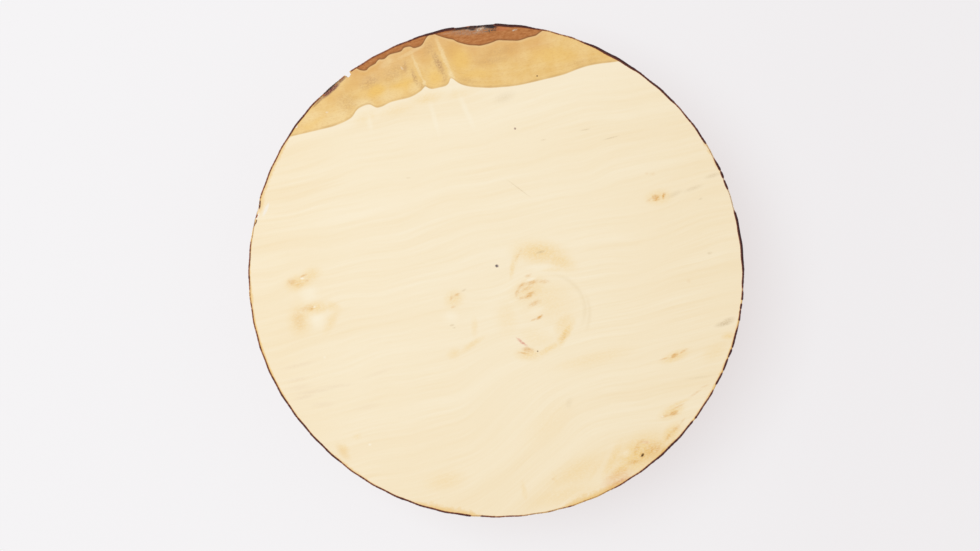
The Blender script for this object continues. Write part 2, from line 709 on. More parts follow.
# %% [markdown]
# The border between wood and inner bark.
# Lime has a thick inner bark, the bast, which people once stripped for rope. On this face it shows
# as a honey-coloured strip whose lower edge runs in lobes and cusps. A formula can't give that line,
# but a handful of points joined by a curve can: a Float Curve node holds them, one for the edge of
# the wood and one for the edge of the rust-brown outer bark. All values are millimetres along the
# log and towards the bark.

# %% The two borders
CURVE_SPAN = 120
CURVE_LOW, CURVE_HIGH = 90, 150
BAST_EDGE_FROM, BAST_EDGE_TO = -0.3, 0.35
BARK_EDGE_FROM, BARK_EDGE_TO = -0.25, 0.25
# A smooth step stays between its ends by itself, so it needs no clamp.
SMOOTH = {"interpolation_type": "SMOOTHSTEP", "clamp": False}
WOOD_EDGE = (
    (-94, 100.2), (-72.5, 100.4), (-61.5, 102.5), (-55, 107.2), (-50, 108), (-44.3, 105),
    (-36, 106.5), (-26.5, 106.6), (-19.5, 108.5), (-16.1, 110.8), (-10.8, 108.3), (-5.6, 108.3),
    (-0.7, 112.4), (6, 106.2), (14.7, 103), (23.6, 101), (40, 99.4), (60, 99.5), (77, 101.3),
    (93, 100),
)
# Two of its points stay sharp: the cusps where the lobes meet.
CUSPS_ALONG = (-16.1, -0.7)
CUSPS = [number for number, (x, y) in enumerate(WOOD_EDGE) if x in CUSPS_ALONG]
BARK_EDGE = (
    (-58, 136), (-51.5, 129.4), (-48.9, 127.6), (-46.7, 127.1), (-44.7, 128.3), (-40.3, 129.7),
    (-37.6, 131.4), (-35.9, 131), (-31.4, 132.8), (-24.9, 133.1), (-22.2, 134.8), (-19.9, 134.8),
    (-16.7, 133.2), (-14.4, 133.3), (-11.1, 135.1), (-9.4, 137.1), (-5.5, 138.6), (-2.9, 137.4),
    (-0.3, 135.8), (3.0, 134.0), (5.7, 132.8), (7.0, 131.4), (9.9, 129.7), (13.7, 127.9),
    (16.8, 127.0), (20.7, 126.1), (24.1, 126.2), (27.1, 126.5), (29.6, 126.9), (33.3, 126.1),
    (38.4, 124.8), (41.9, 124.1), (44.9, 124.3), (47.5, 124.6), (50.8, 124.6), (53.5, 125.5),
    (56.3, 126.8), (64, 134),
)


def draw_line(node, points, corners=()):
    """Puts points between 0 and 1 into a Float Curve node. The numbered corners stay sharp."""
    curve = node.mapping.curves[0]
    for number, (x, y) in enumerate(points):
        point = curve.points[number] if number < 2 else curve.points.new(x, y)
        point.location = (x, y)
        point.handle_type = "VECTOR" if number in corners else "AUTO_CLAMPED"
    node.mapping.update()


def border(points, corners=()):
    """The nodes that say how far a point lies beyond a border, in millimetres."""
    share = grow("MapRange", {0: along, 1: -CURVE_SPAN, 2: CURVE_SPAN})
    curve = grow("FloatCurve", {"Value": share})
    height_of_curve = CURVE_HIGH - CURVE_LOW
    scaled = [((x + CURVE_SPAN) / (2 * CURVE_SPAN), (y - CURVE_LOW) / height_of_curve) for x, y in points]
    draw_line(curve, scaled, corners)
    line = grow("MapRange", {0: curve, 1: 0.0, 2: 1.0, 3: CURVE_LOW, 4: CURVE_HIGH})
    return grow("Math", {0: towards_bark, 1: line}, operation="SUBTRACT")


into_bast = border(WOOD_EDGE, CUSPS)
into_bark = border(BARK_EDGE)
bast_mask = grow("MapRange", {0: into_bast, 1: BAST_EDGE_FROM, 2: BAST_EDGE_TO}, **SMOOTH)
bark_mask = grow("MapRange", {0: into_bark, 1: BARK_EDGE_FROM, 2: BARK_EDGE_TO}, **SMOOTH)
print("border points:", len(WOOD_EDGE), "and", len(BARK_EDGE))

# %% [markdown]
# The grain.
# Fibres part round a knot as water parts round a stone, and at the front of this face they sweep
# upwards. So the distance across the grain is bent first: each knot spreads it a little, and one long
# smooth step lifts it at the front. Noise that is stretched along the fibres then follows the bend.
# Lime's figure is faint, so two creams that differ by a few per cent do all the work.

# %% Bending the fibres round the knots
# Place on the face in mm, reach along and across the grain, and how strongly the fibres part.
KNOTS = {
    "middle_burr": (27, -18, 34, 26, 0.75),
    "left_pair": (-108, -16, 22, 22, 0.55),
    "right_pin": (91, 41, 16, 9, 0.5),
    "front_knot": (84, -103, 34, 26, 0.6),
    "small_group": (-25, -22, 16, 14, 0.4),
    "right_low": (100, -49, 20, 9, 0.4),
}
SWEEP_RISE = 36
SWEEP_ALONG = (-45, 35)
SWEEP_ACROSS = (-10, -80)
WAVE_SIZE = 55
WAVE = 7


def ellipse(vector, x, y, half_length, half_width, turn=0):
    """One in the middle of an ellipse, falling evenly to nothing at its edge."""
    near = grow(
        "Mapping",
        {
            "Vector": vector,
            "Location": (x, y, 0),
            "Rotation": (0, 0, math.radians(turn)),
            "Scale": (half_length, half_width, 1),
        },
        vector_type="TEXTURE",
    )
    return grow("TexGradient", {"Vector": near}, gradient_type="SPHERICAL").outputs["Fac"]


fibre = across_on_face
for x, y, reach_along, reach_across, strength in KNOTS.values():
    knot_along, knot_across = Matrix.Rotation(-GRAIN_TURN, 2) @ Vector((x, y))
    inside = ellipse(log_on_face, knot_along, knot_across, reach_along, reach_across)
    pull = grow("MapRange", {0: inside, 4: strength}, **SMOOTH)
    off_knot = grow("Math", {0: across_on_face, 1: knot_across}, operation="SUBTRACT")
    parting = grow("Math", {0: off_knot, 1: pull}, operation="MULTIPLY")
    fibre = grow("Math", {0: fibre, 1: parting}, operation="SUBTRACT")

lift = grow("MapRange", {0: along, 1: SWEEP_ALONG[0], 2: SWEEP_ALONG[1], 4: SWEEP_RISE}, **SMOOTH)
at_front = grow("MapRange", {0: across_on_face, 1: SWEEP_ACROSS[0], 2: SWEEP_ACROSS[1]}, **SMOOTH)
sweep = grow("Math", {0: lift, 1: at_front}, operation="MULTIPLY")
fibre = grow("Math", {0: fibre, 1: sweep}, operation="SUBTRACT")
wave = grow("TexNoise", {"Vector": log_on_face, "Scale": 1 / WAVE_SIZE, "Detail": 1})
wave = grow("Math", {0: wave, 1: 2 * WAVE, 2: -WAVE}, operation="MULTIPLY_ADD")
fibre = grow("Math", {0: fibre, 1: wave}, operation="ADD")
print("fibres part round", len(KNOTS), "knots and rise", SWEEP_RISE, "mm at the front")

# %% Broad bands, fine lines and pores along the fibres
BAND_LENGTH, BAND_WIDTH = 170, 13
LINE_LENGTH, LINE_WIDTH = 55, 2.0
PORE_LENGTH, PORE_WIDTH = 7, 0.55
DEPTH_STRETCH = 3
PATCH_SIZE = 38
PATCH_FROM, PATCH_TO = 0.35, 0.68
LEAST_LINES, MOST_LINES = 0.16, 0.66


def streaks(crossing, length, width, depth, detail):
    """Noise in streaks along the log, as long, wide and deep as it is told, in millimetres."""
    ways = enumerate(((along, length), (crossing, width), (height, depth)))
    shares = {axis: grow("Math", {0: way, 1: size}, operation="DIVIDE") for axis, (way, size) in ways}
    stretched = grow("CombineXYZ", shares)
    return grow("TexNoise", {"Vector": stretched, "Scale": 1.0, "Detail": detail})


bands = streaks(fibre, BAND_LENGTH, BAND_WIDTH, DEPTH_STRETCH * BAND_WIDTH, detail=2)
lines = streaks(fibre, LINE_LENGTH, LINE_WIDTH, DEPTH_STRETCH * LINE_WIDTH, detail=3)
pores = streaks(fibre, PORE_LENGTH, PORE_WIDTH, DEPTH_STRETCH * PORE_WIDTH, detail=2)
patches = grow("TexNoise", {"Vector": log_on_face, "Scale": 1 / PATCH_SIZE, "Detail": 2})
line_share = grow("MapRange", {0: patches, 1: PATCH_FROM, 2: PATCH_TO, 3: LEAST_LINES, 4: MOST_LINES})
print("bands", BAND_WIDTH, "mm wide, lines", LINE_WIDTH, "mm and pores", PORE_WIDTH, "mm")

# %% The wood's tone
PALE_LIME = "f9edd2"
WARM_LIME = "efd5a4"
BAND_SHARE, PORE_SHARE = 0.40, 0.14
BASE_TONE = 0.27
# The wood is a little darker towards the right, the front and the left of the face.
# Each row has the axis, where that starts and where it is complete, in mm, and how much it adds.
DARKER_TOWARDS = (("X", 20, 140, 0.16), ("Y", -50, -140, 0.16), ("X", -75, -120, 0.10))

axes = grow("SeparateXYZ", {0: place})
tone = BASE_TONE
for axis, begins, complete, added in DARKER_TOWARDS:
    darker = grow("MapRange", {0: axes.outputs[axis], 1: begins, 2: complete, 4: added}, **SMOOTH)
    tone = grow("Math", {0: darker, 1: tone}, operation="ADD")
for streak, share in ((bands, BAND_SHARE), (lines, line_share), (pores, PORE_SHARE)):
    off_middle = grow("Math", {0: streak, 1: 0.5}, operation="SUBTRACT")
    tone = grow("Math", {0: off_middle, 1: share, 2: tone}, operation="MULTIPLY_ADD")
colour = grow("Mix", {0: tone, 6: linear(PALE_LIME), 7: linear(WARM_LIME)}, data_type="RGBA")
print("the grain brings it to", len(lime_tree.nodes), "nodes")

# %% [markdown]
# Knots and stains.
# Where a bud or a pin knot grew, the wood is stained in small soft strokes with frayed ends. Each is
# an ellipse that has been placed, turned and stretched by one Mapping node: inside it the distance
# from the middle is below one. The strokes of one tone make one mask and are mixed in once.

# %% Honey-coloured stains
# Name: x and y on the face, half length, half width in mm, turn in degrees, strength.
HONEY = {
    "burr_cap": (24.0, 10.5, 16.0, 7.0, -4, 0.75),
    "burr_cap_right": (35.0, 6.0, 11.0, 5.5, -24, 0.60),
    "burr_cap_left": (11.5, 8.0, 7.0, 2.6, 66, 0.50),
    "burr_left_arc": (9.0, 1.5, 6.5, 1.5, 82, 0.55),
    "burr_under_cap": (33.0, 1.0, 9.0, 2.0, 4, 0.35),
    "burr_glow": (19.0, -11.0, 12.0, 8.0, 22, 0.55),
    "burr_right_glow": (38.0, -30.0, 5.5, 8.5, -30, 0.45),
    "burr_elbow": (39.0, -35.5, 10.0, 2.8, 60, 0.80),
    "burr_low_arc": (29.5, -44.5, 10.0, 2.4, 30, 0.60),
    "burr_foot_glow": (18.5, -47.5, 8.0, 4.0, 0, 0.60),
    "burr_left_fill": (6.0, -26.0, 7.0, 10.0, 0, 0.25),
    "burr_middle": (27.0, -17.0, 20.0, 14.0, -14, 0.32),
    "burr_low_glow": (23.0, -37.5, 10.0, 6.0, 0, 0.30),
    "group_glow": (-24.0, -16.0, 6.0, 5.0, 30, 0.50),
    "group_low": (-12.5, -32.0, 2.2, 6.0, 0, 0.30),
    "group_foot": (-14.0, -42.0, 9.0, 2.0, 35, 0.45),
    "group_end": (-24.0, -47.0, 4.5, 3.2, 20, 0.40),
    "left_top_glow": (-112.0, -7.0, 8.0, 5.0, 12, 0.70),
    "left_top_right": (-105.5, -2.5, 7.0, 4.5, 30, 0.50),
    "left_low_glow": (-111.5, -28.0, 7.0, 10.0, 0, 0.52),
    "left_low_top": (-103.0, -21.5, 9.0, 4.0, 12, 0.70),
    "left_low_right": (-93.5, -29.0, 3.0, 8.0, -30, 0.40),
    "left_low_far": (-93.0, -20.5, 6.0, 3.5, -20, 0.40),
    "right_pin_glow": (92.0, 41.5, 8.0, 4.5, 8, 0.60),
    "right_mid_glow": (101.5, -48.5, 9.0, 3.2, 24, 0.65),
    "right_low_glow": (99.5, -80.0, 8.0, 3.6, 24, 0.75),
    "right_low_lines": (101.5, -76.0, 9.0, 1.2, 24, 0.55),
    "front_glow": (81.0, -104.0, 17.0, 10.5, 32, 0.95),
    "front_core": (86.0, -103.0, 10.0, 6.0, 35, 1.0),
    "front_right_glow": (98.5, -92.5, 8.5, 4.2, 47, 0.78),
    "front_far": (92.5, -99.0, 6.5, 4.0, 45, 0.70),
    "front_left_band": (66.0, -107.0, 3.5, 13.0, -28, 0.60),
    "front_outer_band": (56.0, -112.0, 2.5, 12.0, -34, 0.35),
    "front_foot_glow": (70.0, -118.0, 10.0, 4.0, 32, 0.55),
    "front_rim_tan": (70.0, -113.8, 11.5, 4.2, 38, 0.95),
    "foot_rim_tan": (38.0, -127.0, 22.0, 6.0, 16, 0.34),
    "rim_right_glow": (131.5, -37.0, 4.5, 2.4, 14, 0.60),
    "rim_right_wide": (124.0, -46.0, 9.0, 5.0, 30, 0.30),
    "lower_left_spot": (-86.0, -100.5, 3.6, 2.2, -35, 0.40),
    "lower_left_spot_up": (-79.0, -94.0, 3.0, 1.8, 20, 0.25),
    "under_bast_a": (-56.0, 91.5, 15.0, 3.6, 17, 0.42),
    "under_bast_b": (-40.0, 97.8, 13.0, 4.0, 14, 0.52),
    "under_left_lobe": (-74.0, 86.8, 10.0, 3.6, 20, 0.30),
    "under_bast_c": (-19.5, 100.6, 13.0, 3.4, 13, 0.25),
    "warm_below": (55.0, -50.0, 26.0, 4.5, 14, 0.30),
    "warm_foot": (30.0, -86.0, 20.0, 9.0, 40, 0.18),
    "foot_left_warm": (-29.0, -119.0, 13.0, 6.0, 8, 0.34),
    "foot_right_warm": (46.0, -114.0, 20.0, 8.0, 30, 0.40),
    "foot_streak_a": (15.6, -124.6, 6.2, 1.7, 100, 0.30),
    "foot_streak_b": (33.8, -118.7, 5.7, 2.0, 115, 0.34),
}
print("honey-coloured stains:", len(HONEY))

# %% The brown cores of the knots
KNOT_BROWN = {
    "burr_dot": (18.0, -3.0, 2.0, 1.1, 20, 0.42),
    "burr_arc_foot": (11.6, -12.5, 2.8, 1.1, 68, 0.46),
    "burr_arc_left": (14.0, -8.6, 3.2, 1.2, 36, 0.60),
    "burr_arc": (20.0, -6.8, 4.2, 1.3, 16, 0.62),
    "burr_arc_right": (26.5, -6.2, 4.0, 1.2, 2, 0.36),
    "burr_inner": (17.0, -10.2, 4.0, 1.2, 24, 0.34),
    "burr_stroke": (18.6, -13.8, 3.6, 1.4, 32, 0.80),
    "burr_stroke_tail": (14.0, -15.6, 2.6, 0.9, 8, 0.40),
    "burr_bits": (21.5, -18.6, 4.0, 1.6, 24, 0.42),
    "burr_spot": (24.3, -26.4, 2.4, 0.9, 32, 1.0),
    "burr_spot_tail": (21.0, -27.8, 1.8, 0.6, 30, 0.45),
    "burr_foot": (17.8, -44.8, 3.2, 1.5, -14, 0.70),
    "burr_foot_low": (15.0, -46.8, 3.0, 0.8, -4, 0.50),
    "burr_elbow_core": (38.0, -37.5, 4.0, 1.3, 58, 0.22),
    "cap_edge": (12.5, 9.0, 5.0, 0.8, 62, 0.20),
    "group_a": (-25.6, -15.6, 1.5, 1.2, 42, 0.50),
    "group_b": (-22.2, -13.6, 2.2, 0.9, 20, 0.55),
    "group_c": (-24.4, -20.6, 1.5, 0.9, 20, 0.35),
    "left_top_a": (-116.0, -6.6, 2.8, 2.0, 0, 0.44),
    "left_top_b": (-111.8, -8.0, 3.0, 1.8, 10, 0.22),
    "left_top_c": (-109.5, -3.0, 2.2, 0.8, 25, 0.62),
    "left_top_d": (-107.5, -5.6, 1.6, 0.8, 20, 0.36),
    "left_low_a": (-104.8, -21.4, 1.7, 1.4, 40, 0.55),
    "left_low_b": (-107.5, -21.5, 4.5, 2.0, 15, 0.26),
    "left_low_c": (-112.0, -28.0, 3.6, 6.0, 10, 0.20),
    "right_pin_a": (90.2, 41.2, 2.3, 1.9, 10, 0.95),
    "right_pin_b": (94.6, 42.3, 1.0, 2.0, -15, 0.95),
    "right_pin_tail": (86.5, 40.0, 1.8, 0.8, 30, 0.36),
    "right_mid": (100.6, -48.2, 2.5, 1.1, 28, 0.95),
    "right_mid_up": (105.5, -45.8, 3.2, 0.7, 30, 0.50),
    "right_mid_left": (95.0, -50.0, 3.0, 0.6, 14, 0.36),
    "right_low": (100.2, -80.9, 2.7, 1.4, 20, 1.0),
    "right_low_tail": (96.0, -82.2, 3.6, 0.8, 20, 0.45),
    "right_low_up": (103.0, -77.0, 5.0, 0.6, 26, 0.36),
    "front_arc": (79.4, -101.0, 1.5, 5.0, -20, 0.34),
    "front_arc_top": (81.8, -97.2, 2.6, 1.2, 40, 0.28),
    "front_streak_a": (88.0, -101.6, 1.3, 3.2, -14, 0.72),
    "front_streak_b": (91.4, -101.0, 1.1, 2.8, -14, 0.66),
    "front_amber": (88.0, -102.0, 7.5, 4.5, 35, 0.36),
    "front_right": (94.6, -102.0, 2.8, 1.5, 50, 0.55),
    "front_tan": (78.0, -108.4, 4.6, 1.5, 10, 0.50),
    "front_pit_halo": (82.6, -104.6, 2.6, 2.0, 50, 0.45),
    "front_specks_a": (97.5, -94.0, 2.8, 1.1, 50, 0.50),
    "front_specks_b": (101.5, -89.5, 3.6, 1.0, 42, 0.42),
    "front_specks_c": (105.5, -85.0, 2.4, 0.7, 46, 0.30),
    "right_streak": (112.5, -69.6, 4.2, 0.8, 30, 0.34),
    "right_streak_up": (118.0, -65.5, 3.0, 0.6, 20, 0.25),
    "front_rim_brown": (69.0, -120.4, 8.5, 1.6, 30, 0.45),
    "small_dot_a": (32.0, -118.0, 1.0, 0.8, 40, 0.22),
    "small_dot_b": (88.3, 54.8, 1.8, 1.2, 0, 0.15),
    "small_dot_c": (109.0, -6.0, 1.5, 1.2, 0, 0.15),
    "upper_amber_speck": (85.0, 55.0, 1.2, 0.8, 0, 0.20),
}
print("brown cores:", len(KNOT_BROWN))

# %% Pale hearts, pink stains and faint ripples
PALE_HEART = {
    "fan_left": (-71.8, 83.8, 6.0, 2.0, -80, 0.30),
    "fan_middle": (-35.3, 86.6, 12.0, 1.6, -75, 0.28),
    "fan_right": (-17.4, 91.0, 12.0, 1.8, -66, 0.32),
    "left_top_pale": (-106.5, -12.8, 6.0, 5.0, 0, 0.42),
    "left_top_white": (-110.0, -4.4, 1.2, 0.7, -20, 0.90),
    "left_low_pale": (-101.5, -28.0, 5.5, 5.5, -20, 0.45),
    "left_low_white": (-103.2, -20.6, 1.0, 0.6, 0, 0.80),
    "burr_pale": (22.5, -22.6, 6.0, 2.6, 20, 0.30),
    "burr_pale_top": (19.5, -4.9, 3.6, 1.0, 20, 0.55),
    "burr_pale_low": (25.0, -35.0, 9.0, 7.0, 0, 0.12),
    "burr_pale_cap": (26.0, 2.0, 10.0, 2.0, 0, 0.30),
    "group_pale": (-26.0, -26.0, 5.0, 3.5, 0, 0.35),
    "front_pale": (73.5, -103.5, 3.0, 2.4, 40, 0.30),
    "pale_fleck_a": (-71.8, -98.5, 1.0, 0.8, 0, 0.80),
    "pale_fleck_b": (-97.4, -49.1, 1.0, 0.8, 0, 0.45),
    "right_low_chip": (94.0, -82.5, 0.9, 0.5, 0, 0.70),
}
FOOT_PINK = {
    "burr_pink": (14.4, -40.6, 4.0, 0.9, -38, 0.85),
    "front_pink": (84.6, -97.2, 2.4, 0.9, -5, 0.30),
    "front_rim_pink": (68.5, -118.0, 9.5, 5.0, 32, 0.26),
    "front_rim_edge": (69.0, -120.4, 8.5, 1.6, 30, 0.50),
}
RIPPLES = {
    "left_a": (-112.5, -53.8, 11.0, 1.2, 13, 0.45),
    "left_b": (-112.5, -61.7, 7.0, 1.4, 10, 0.38),
    "left_c": (-111.6, -66.2, 8.0, 2.2, 8, 0.32),
    "left_d": (-104.0, -68.6, 12.0, 1.3, 9, 0.50),
    "left_e": (-109.0, -71.8, 6.5, 1.2, 14, 0.52),
    "left_f": (-91.5, -65.6, 12.0, 1.3, 7, 0.36),
    "left_g": (-98.3, -75.9, 7.5, 2.0, 5, 0.34),
    "left_h": (-67.5, -58.2, 9.5, 1.2, 19, 0.28),
    "left_i": (-73.5, -77.2, 8.0, 2.0, 10, 0.26),
}
print("pale, pink and rippled places:", len(PALE_HEART) + len(FOOT_PINK) + len(RIPPLES))

# %% Laying the strokes on
# Hex colour, its strokes and how soft their edges are.
TONES = (
    ("e9d3b4", RIPPLES, 1.0),
    ("f0cc83", HONEY, 1.0),
    ("d99d43", KNOT_BROWN, 1.0),
    ("fbf3dd", PALE_HEART, 1.0),
    ("dd9c86", FOOT_PINK, 0.8),
)
# A stroke fades out, so its ellipse is drawn larger than the stroke looks.
STROKE_REACH = 1.35
FULL_STRENGTH_AT = 0.95
# A stain is grainy: the size of its grains in mm, and how much of it the palest grains keep.
STAIN_GRAIN = (1.5, 0.9, 1.5)
GRAIN_FROM, GRAIN_TO, LEAST_STAIN = 0.34, 0.62, 0.42


def grains(size, detail, roughness=0.5):
    """Noise whose grains are as long, wide and deep in the log as their size says, in millimetres."""
    stretched = grow("VectorMath", {0: in_log, 1: [1 / width for width in size]}, operation="MULTIPLY")
    settings = {"Scale": 1.0, "Detail": detail, "Roughness": roughness}
    return grow("TexNoise", {"Vector": stretched, **settings})


def strokes(marks, softness, vector):
    """The mask of a group of strokes: at each point the strongest of them holds."""
    total = 0.0
    for x, y, half_length, half_width, turn, strength in marks.values():
        inside = ellipse(vector, x, y, STROKE_REACH * half_length, STROKE_REACH * half_width, turn)
        mask = grow("MapRange", {0: inside, 2: FULL_STRENGTH_AT * softness, 4: strength}, **SMOOTH)
        total = grow("Math", {0: mask, 1: total}, operation="MAXIMUM")
    return total


grainy = grains(STAIN_GRAIN, detail=3, roughness=0.6)
grainy = grow("MapRange", {0: grainy, 1: GRAIN_FROM, 2: GRAIN_TO, 3: LEAST_STAIN, 4: 1.0})
for hex_colour, marks, softness in TONES:
    mask = strokes(marks, softness, on_face)
    if marks is not PALE_HEART:
        mask = grow("Math", {0: mask, 1: grainy}, operation="MULTIPLY")
    colour = grow("Mix", {0: mask, 6: colour, 7: linear(hex_colour)}, data_type="RGBA")
print("the stains bring it to", len(lime_tree.nodes), "nodes")

# %% Thin growth lines that close round the middle burr
# Name: x and y of the ring's middle, its half length and half width in mm, and its turn in degrees.
# Then the width of its line in mm, and the part of it that shows: x, y, half length, half width, turn.
BURR_LINES = {
    "outer": (29.0, -22.0, 21.2, 20.0, -10, 2.0, (45.0, -15.0, 21.0, 8.0, -62)),
    "second": (28.0, -24.0, 24.8, 24.6, -10, 1.7, (51.5, -24.0, 11.0, 5.0, -80)),
}
BURR_LINE_COLOUR = "d9bf8f"
BURR_LINE_STRENGTH, BURR_LINE_SOFTNESS = 0.18, 0.8
# The line runs halfway between the middle and the edge of an ellipse that is twice its size.
burr_lines = 0.0
for x, y, half_length, half_width, turn, line_width, part in BURR_LINES.values():
    inside = ellipse(on_face, x, y, 2 * half_length, 2 * half_width, turn)
    off_ring = grow("Math", {0: inside, 1: 0.5}, operation="SUBTRACT")
    off_ring = grow("Math", {0: off_ring}, operation="ABSOLUTE")
    line = grow("MapRange", {0: off_ring, 1: line_width / (2 * half_length), 2: 0.0})
    shown = strokes({"part": (*part, BURR_LINE_STRENGTH)}, BURR_LINE_SOFTNESS, flat_place)
    line = grow("Math", {0: line, 1: shown}, operation="MULTIPLY")
    burr_lines = grow("Math", {0: line, 1: burr_lines}, operation="MAXIMUM")
colour = grow("Mix", {0: burr_lines, 6: colour, 7: linear(BURR_LINE_COLOUR)}, data_type="RGBA")
print("growth lines drawn round the burr:", len(BURR_LINES))

# %% [markdown]
# The bast and the bark.
# Bast is laid down in thin layers, so its streaks run along its lower edge. Rays cross it as pale
# strokes, with grey-brown flecks beside them. Just outside the wood there is a thin darker line, the
# cambium, and the wood next to it is the palest of all. The outer bark is rust brown cork.

# %% The bast
BAST_PALE = "f3d496"
BAST_HONEY = "e6bb6c"
BAST_TAN = "dba468"
LAYER_LENGTH, LAYER_WIDTH = 34, 1.5
CLOUD_SIZE = 9
# The bast turns from pale to honey between these sums of its parts. It is paler at its left end.
HONEY_FROM, HONEY_TO = 0.75, 1.65
LEFT_END, LEFT_END_SHARE = -60, 0.32
MIDDLE, MIDDLE_SHARE = 10, 0.44
CLOUD_SHARE, LAYER_SHARE = 1.3, 0.5
TAN_WIDTH = 15
bast_layers = streaks(into_bast, LAYER_LENGTH, LAYER_WIDTH, LAYER_LENGTH, detail=3)
bast_clouds = grow("TexNoise", {"Vector": in_log, "Scale": 1 / CLOUD_SIZE, "Detail": 3, "Roughness": 0.6})
honey_share = grow("MapRange", {0: along, 1: LEFT_END, 2: MIDDLE, 3: LEFT_END_SHARE, 4: MIDDLE_SHARE})
for part, share in ((bast_clouds, CLOUD_SHARE), (bast_layers, LAYER_SHARE)):
    honey_share = grow("Math", {0: part, 1: share, 2: honey_share}, operation="MULTIPLY_ADD")
honey_share = grow("MapRange", {0: honey_share, 1: HONEY_FROM, 2: HONEY_TO})
bast = grow("Mix", {0: honey_share, 6: linear(BAST_PALE), 7: linear(BAST_HONEY)}, data_type="RGBA")
tan_share = grow("MapRange", {0: into_bark, 1: -TAN_WIDTH, 2: 0.0})
tan_share = grow("Math", {0: tan_share, 1: bast_clouds}, operation="MULTIPLY")
bast = grow("Mix", {0: tan_share, 6: bast, 7: linear(BAST_TAN)}, data_type="RGBA")
print("the bast turns tan over its last", TAN_WIDTH, "mm")

# %% Rays, flecks and patches in the bast
RAYS = {
    "left_ray": (-17.9, 122.0, 9.5, 0.9, 100, 0.45),
    "left_ray_foot": (-16.0, 112.2, 4.0, 1.0, 97, 0.62),
    "right_ray": (-1.7, 124.0, 13.0, 1.3, 100, 0.52),
    "right_ray_foot": (-0.1, 113.5, 4.5, 1.5, 100, 0.68),
    "left_pale_patch": (-52.0, 109.5, 6.0, 3.0, -10, 0.45),
    "pale_by_bark": (-19.0, 131.5, 9.0, 1.2, 14, 0.32),
    "pale_by_bark_left": (-34.0, 128.5, 5.0, 2.0, 20, 0.25),
    "left_lobe_low": (-70.6, 104.6, 12.0, 3.5, 8, 0.45),
    "middle_low": (-36.0, 110.5, 10.0, 3.0, 5, 0.38),
    "third_low": (-22.0, 111.8, 5.0, 3.5, 10, 0.34),
    "left_end_pale": (-84.0, 108.0, 8.0, 4.0, 10, 0.32),
}
FLECKS = {
    "by_left_ray": (-20.6, 117.0, 6.0, 1.5, 100, 0.75),
    "by_left_ray_top": (-24.5, 124.0, 4.0, 1.8, 80, 0.75),
    "left_of_it": (-31.0, 122.0, 9.0, 5.0, 20, 0.38),
    "by_right_ray": (-5.6, 121.5, 9.5, 2.2, 102, 0.95),
    "by_right_ray_top": (-9.0, 131.5, 5.0, 3.0, 60, 0.55),
    "far_left": (-46.0, 120.0, 7.0, 4.0, 12, 0.60),
    "far_left_low": (-61.0, 112.0, 6.0, 7.0, 60, 0.42),
    "left_foot": (-18.0, 111.5, 1.4, 3.0, 0, 0.50),
    "between_foot": (-4.0, 113.0, 1.8, 4.0, -10, 0.45),
    "right_patch": (30.0, 120.5, 14.0, 3.0, 2, 0.30),
    "right_patch_low": (24.0, 116.5, 12.0, 2.4, -4, 0.34),
    "cusp_foot": (8.0, 108.5, 6.0, 2.2, -20, 0.35),
    "right_end": (75.0, 104.0, 12.0, 2.0, 0, 0.25),
}
GOLD = {
    "gold_left": (-43.5, 114.5, 6.0, 4.5, 0, 0.75),
    "gold_mid": (-28.0, 113.5, 8.0, 4.0, 10, 0.65),
    "gold_between": (-9.5, 114.0, 4.0, 5.5, 0, 0.60),
    "gold_right": (7.0, 121.5, 6.0, 8.0, 20, 0.62),
    "gold_foot": (14.0, 111.0, 9.0, 3.0, -6, 0.40),
    "gold_left_end": (-82.0, 104.5, 8.0, 3.0, 10, 0.35),
    "gold_left_up": (-48.5, 117.0, 4.5, 3.5, 20, 0.32),
    "gold_tail": (57.0, 112.0, 15.0, 5.0, -14, 0.40),
}
TAN = {
    "below_bark_left": (-46.0, 127.0, 8.0, 3.0, 10, 0.55),
    "outer_left": (-56.0, 121.0, 8.0, 4.0, 20, 0.45),
    "outer_left_end": (-66.5, 116.5, 7.0, 4.0, 30, 0.35),
    "right_tan": (31.0, 121.5, 18.0, 5.0, 2, 0.34),
    "below_bark_cusp": (3.0, 128.0, 4.5, 8.0, -20, 0.50),
    "below_bark_tail": (46.0, 122.0, 9.0, 2.5, 0, 0.35),
    "right_of_left_ray": (-12.0, 127.0, 4.0, 6.0, 0, 0.30),
}
print("strokes in the bast:", sum(len(marks) for marks in (RAYS, FLECKS, GOLD, TAN)))

# %% Laying them on the bast
GOLDEN, WARM_TAN, PALE_RAY = "efc264", "dfac5c", "f6dfab"
FLECK_BROWN = "bd9464"
SPECKLE_SIZE = 0.9
SPECKLE_FROM, SPECKLE_TO, LEAST_SPECKLE = 0.36, 0.62, 0.15
GRAIN_TAN = "cf9a5a"
BAST_GRAIN = (1.6, 0.8, 1.6)
BAST_GRAIN_FROM, BAST_GRAIN_TO, BAST_GRAIN_SHARE = 0.48, 0.72, 0.28
BAST_STROKE_SOFTNESS = 0.8

